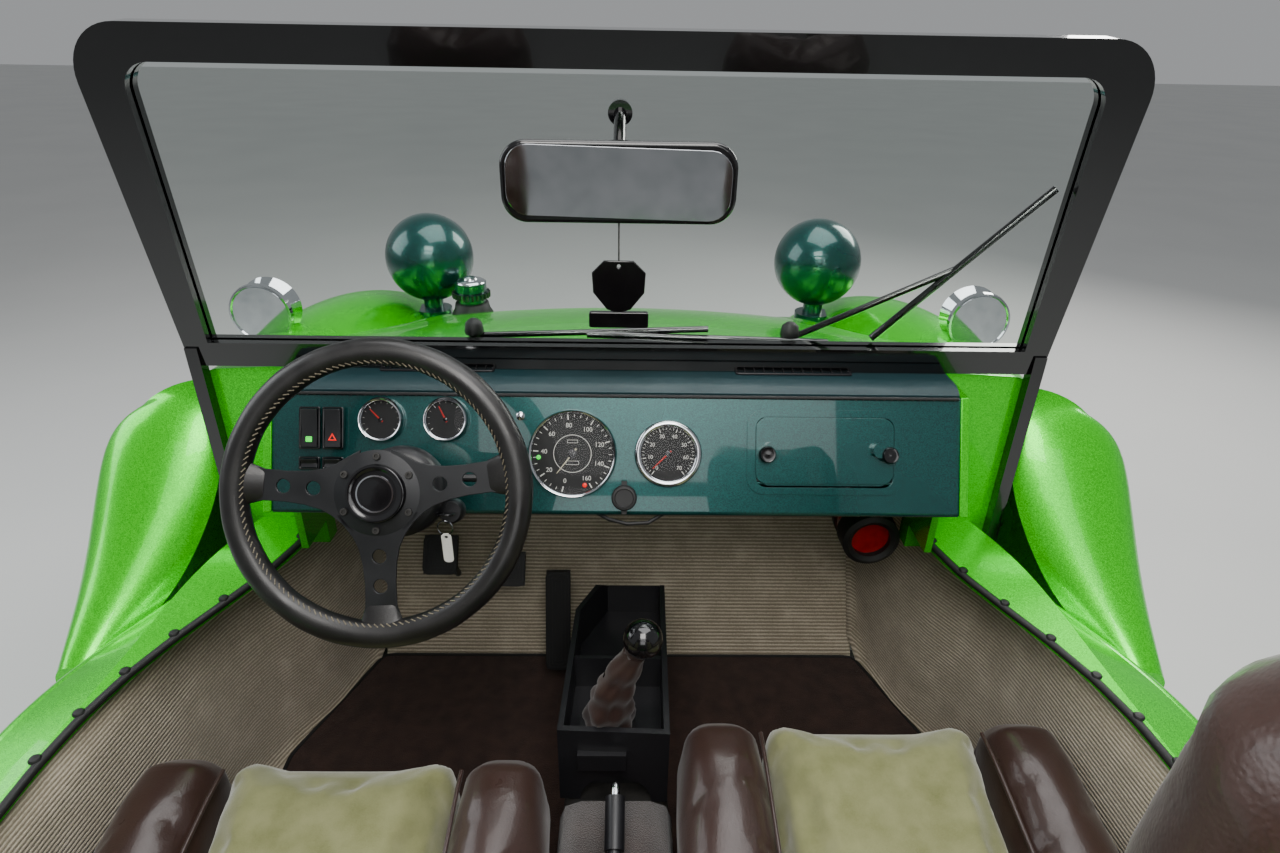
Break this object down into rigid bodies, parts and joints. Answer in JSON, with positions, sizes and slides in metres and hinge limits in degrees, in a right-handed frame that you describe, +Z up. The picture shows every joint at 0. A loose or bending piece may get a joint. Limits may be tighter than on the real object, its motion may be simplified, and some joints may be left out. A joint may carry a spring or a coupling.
{
  "type": "open two-seat dune buggy",
  "caption": "Open beach buggy: glass-fibre body with round fenders on a short rear-engined floor pan, with dash, seats, steering and rolling wheels.",
  "frame": {"origin": "on the ground, midway between the bumpers, on the centre line", "axes": "+X to the passenger's side (right), +Y forwards, +Z up"},
  "size_m": [1.639, 3.3, 1.369],
  "materials": {
    "green_paint": "gloss lime green metallic",
    "teal_paint": "gloss dark teal metallic",
    "black_paint": "gloss black",
    "chassis_black": "satin black",
    "chrome": "polished",
    "alloy": "satin",
    "cast_alloy": "as cast",
    "glass": "clear",
    "red_lens": "gloss red",
    "black_plastic": "matt",
    "gloss_black_plastic": "gloss",
    "leather": "dark brown leather",
    "wheel_leather": "black leather",
    "suede": "sage green suede",
    "carpet": "ribbed beige grey carpet",
    "mat": "dark brown pile",
    "tyre": "black rubber",
    "red_paint": "gloss red",
    "string": "black string"
  },
  "bodies": {
    "chassis": {"bonnet": "green_paint", "rear_body": "green_paint", "left_front_fender": "green_paint", "right_front_fender": "green_paint", "left_side_panel": "green_paint", "right_side_panel": "green_paint", "left_rear_fender": "green_paint", "right_rear_fender": "green_paint", "dash_panel": "teal_paint", "dash_top": "teal_paint", "gauges": "chrome", "dash_controls": "black_plastic", "windscreen_frame": "black_paint", "windscreen_glass": "glass", "wipers": "black_paint", "filler_cap": "teal_paint", "headlamps": "teal_paint", "headlamp_lenses": "glass", "side_mirrors": "chrome", "steering_column": "black_plastic", "interior_mirror": "gloss_black_plastic", "tag_string": "string", "hanging_tag": "gloss_black_plastic", "centre_console": "black_plastic", "gear_lever": "gloss_black_plastic", "handbrake": "chrome", "pedals": "alloy", "driver_seat_cushion": "suede", "driver_seat_back": "suede", "passenger_seat_cushion": "suede", "passenger_seat_back": "suede", "rear_bench": "leather", "fire_extinguisher": "red_paint", "bottle_bracket": "chassis_black", "floor_pan": "chassis_black", "toe_board": "carpet", "floor_mats": "mat", "front_axle": "chassis_black", "rear_axle": "chassis_black", "engine": "cast_alloy", "exhaust": "chassis_black", "roll_bar": "black_paint", "front_bumper": "chrome", "rear_bumper": "chrome", "tail_lamps": "red_lens"},
    "steering_wheel": {"steering_wheel": "wheel_leather"},
    "glove_lid": {"glove_lid": "teal_paint"},
    "left_knuckle": {"left_knuckle": "chassis_black"},
    "right_knuckle": {"right_knuckle": "chassis_black"},
    "track_rod": {"track_rod": "chassis_black"},
    "left_front_wheel": {"left_front_tyre": "tyre", "left_front_rim": "alloy"},
    "left_rear_wheel": {"left_rear_tyre": "tyre", "left_rear_rim": "alloy"},
    "right_front_wheel": {"right_front_tyre": "tyre", "right_front_rim": "alloy"},
    "right_rear_wheel": {"right_rear_tyre": "tyre", "right_rear_rim": "alloy"}
  },
  "joints": [
    {"name": "left_steer", "type": "hinge", "parent": "chassis", "child": "left_knuckle", "pos_m": [-0.545, 1.05, 0.32], "axis": [0, 0, 1], "range_deg": [-28, 28]},
    {"name": "right_steer", "type": "hinge", "parent": "chassis", "child": "right_knuckle", "pos_m": [0.545, 1.05, 0.32], "axis": [0, 0, 1], "range_deg": [-28, 28]},
    {"name": "steering_wheel_turn", "type": "hinge", "parent": "chassis", "child": "steering_wheel", "pos_m": [-0.264, 0.113, 0.909], "axis": [0, -0.891, 0.454], "range_deg": [-421, 421]},
    {"name": "track_rod_swing", "type": "hinge", "parent": "left_knuckle", "child": "track_rod", "pos_m": [-0.545, 0.92, 0.35], "axis": [0, 0, 1], "range_deg": [-29, 29]},
    {"name": "glove_lid_open", "type": "hinge", "parent": "chassis", "child": "glove_lid", "pos_m": [0.272, 0.25301, 0.83928], "axis": [1, 0, 0], "range_deg": [0, 88]},
    {"name": "left_front_roll", "type": "hinge", "parent": "left_knuckle", "child": "left_front_wheel", "pos_m": [-0.655, 1.05, 0.32], "axis": [1, 0, 0], "continuous": true},
    {"name": "left_rear_roll", "type": "hinge", "parent": "chassis", "child": "left_rear_wheel", "pos_m": [-0.68, -1, 0.35], "axis": [1, 0, 0], "continuous": true},
    {"name": "right_front_roll", "type": "hinge", "parent": "right_knuckle", "child": "right_front_wheel", "pos_m": [0.655, 1.05, 0.32], "axis": [1, 0, 0], "continuous": true},
    {"name": "right_rear_roll", "type": "hinge", "parent": "chassis", "child": "right_rear_wheel", "pos_m": [0.68, -1, 0.35], "axis": [1, 0, 0], "continuous": true}
  ],
  "couplings": [
    {"joint": "right_steer", "follows": "left_steer", "ratio": 1},
    {"joint": "track_rod_swing", "follows": "left_steer", "ratio": -1},
    {"joint": "steering_wheel_turn", "follows": "left_steer", "ratio": 15}
  ]
}
